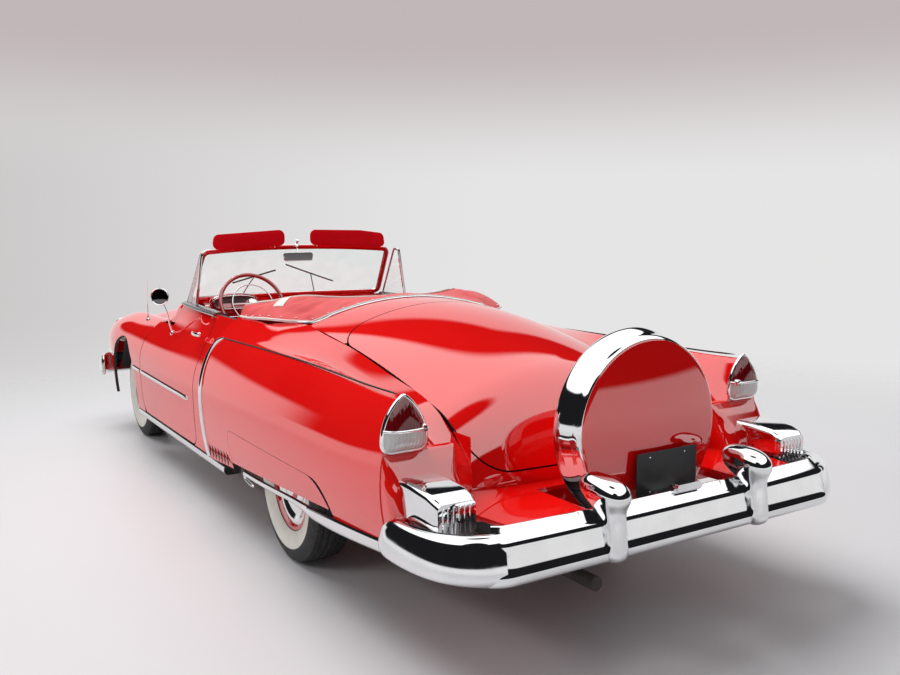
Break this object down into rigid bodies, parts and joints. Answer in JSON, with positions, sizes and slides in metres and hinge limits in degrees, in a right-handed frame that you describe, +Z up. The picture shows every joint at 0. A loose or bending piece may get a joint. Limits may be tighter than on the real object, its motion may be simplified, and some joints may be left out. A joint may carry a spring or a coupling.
{
  "type": "two-door convertible car",
  "caption": "Red open two-door convertible of the early fifties with chrome bumpers, whitewall tyres, rear wheel skirts and an upright spare wheel cover behind the tail.",
  "frame": {"origin": "on the ground under the middle of the car", "axes": "+X forward, +Y to the left side, +Z up"},
  "size_m": [5.82, 2.046, 1.5779],
  "materials": {
    "red_paint": "deep gloss enamel",
    "chrome": "bright plated",
    "tyre_rubber": "black with wide white sidewall",
    "wheel_cover": "bright plated dish over a red rim",
    "frame_black": "satin black",
    "engine_iron": "painted casting",
    "pipe_steel": "dull steel",
    "carpet_red": "looped carpet over pressed floor",
    "red_leather": "pleated hide",
    "red_vinyl": "coated cloth with white piping",
    "wheel_red": "moulded rim",
    "red_lens": "moulded lens",
    "clear_lens": "moulded glass",
    "clear_glass": "flat laminated"
  },
  "bodies": {
    "body": {"backup_lamps": "clear_lens", "chassis_frame": "frame_black", "cowl": "red_paint", "dashboard": "red_paint", "engine": "engine_iron", "exhaust": "pipe_steel", "fender_skirts": "red_paint", "floor_pan": "carpet_red", "front_bumper": "chrome", "front_fender_left": "red_paint", "front_fender_right": "red_paint", "front_seat": "red_leather", "front_suspension": "frame_black", "fuel_tank": "frame_black", "grille": "chrome", "headlamps": "clear_lens", "nose_panel": "red_paint", "quarter_left": "red_paint", "quarter_right": "red_paint", "radiator": "frame_black", "rear_axle": "frame_black", "rear_bumper": "chrome", "rear_seat": "red_leather", "rear_view_mirror": "chrome", "sills": "chrome", "spare_cover": "red_paint", "spare_ring": "chrome", "splash_pan": "red_paint", "steering_column": "red_paint", "sun_visors": "red_vinyl", "tail_lamps": "red_lens", "tail_panel": "red_paint", "tonneau_panel": "red_paint", "top_boot": "red_vinyl", "windshield_frame": "chrome", "windshield_glass": "clear_glass"},
    "door_left": {"door_left": "red_paint", "vent_window_left": "chrome", "side_mirror": "chrome"},
    "door_right": {"door_right": "red_paint", "vent_window_right": "chrome"},
    "hood": {"hood": "red_paint"},
    "trunk_lid": {"trunk_lid": "red_paint"},
    "knuckle_left": {"knuckle_left": "frame_black"},
    "knuckle_right": {"knuckle_right": "frame_black"},
    "steering_wheel": {"steering_wheel": "wheel_red"},
    "wheel_front_left": {"tyre_front_left": "tyre_rubber", "wheel_front_left": "wheel_cover"},
    "wheel_front_right": {"tyre_front_right": "tyre_rubber", "wheel_front_right": "wheel_cover"},
    "wheel_rear_left": {"tyre_rear_left": "tyre_rubber", "wheel_rear_left": "wheel_cover"},
    "wheel_rear_right": {"tyre_rear_right": "tyre_rubber", "wheel_rear_right": "wheel_cover"}
  },
  "joints": [
    {"name": "door_left_hinge", "type": "hinge", "parent": "body", "child": "door_left", "pos_m": [1.4, 0.959, 0.6], "axis": [0, 0, -1], "range_deg": [0, 65]},
    {"name": "door_right_hinge", "type": "hinge", "parent": "body", "child": "door_right", "pos_m": [1.4, -0.959, 0.6], "axis": [0, 0, 1], "range_deg": [0, 65]},
    {"name": "hood_hinge", "type": "hinge", "parent": "body", "child": "hood", "pos_m": [1.44, 0, 1.08], "axis": [0, -1, 0], "range_deg": [0, 50]},
    {"name": "trunk_hinge", "type": "hinge", "parent": "body", "child": "trunk_lid", "pos_m": [-1.12, 0, 1.1883], "axis": [0, 1, 0], "range_deg": [0, 60]},
    {"name": "steer_left", "type": "hinge", "parent": "body", "child": "knuckle_left", "pos_m": [2.02, 0.6895, 0.36], "axis": [0, 0, 1], "range_deg": [-33, 33]},
    {"name": "steer_right", "type": "hinge", "parent": "body", "child": "knuckle_right", "pos_m": [2.02, -0.6895, 0.36], "axis": [0, 0, 1], "range_deg": [-33, 33]},
    {"name": "steering_wheel_turn", "type": "hinge", "parent": "body", "child": "steering_wheel", "pos_m": [0.64, 0.392, 1.088], "axis": [-0.8988, 0, 0.4384], "range_deg": [-600, 600]},
    {"name": "spin_front_left", "type": "hinge", "parent": "knuckle_left", "child": "wheel_front_left", "pos_m": [2.02, 0.7495, 0.36], "axis": [0, 1, 0], "continuous": true},
    {"name": "spin_front_right", "type": "hinge", "parent": "knuckle_right", "child": "wheel_front_right", "pos_m": [2.02, -0.7495, 0.36], "axis": [0, 1, 0], "continuous": true},
    {"name": "spin_rear_left", "type": "hinge", "parent": "body", "child": "wheel_rear_left", "pos_m": [-1.18, 0.8, 0.36], "axis": [0, 1, 0], "continuous": true},
    {"name": "spin_rear_right", "type": "hinge", "parent": "body", "child": "wheel_rear_right", "pos_m": [-1.18, -0.8, 0.36], "axis": [0, 1, 0], "continuous": true}
  ],
  "couplings": [
    {"joint": "steer_right", "follows": "steer_left", "ratio": 1},
    {"joint": "steering_wheel_turn", "follows": "steer_left", "ratio": 18}
  ]
}
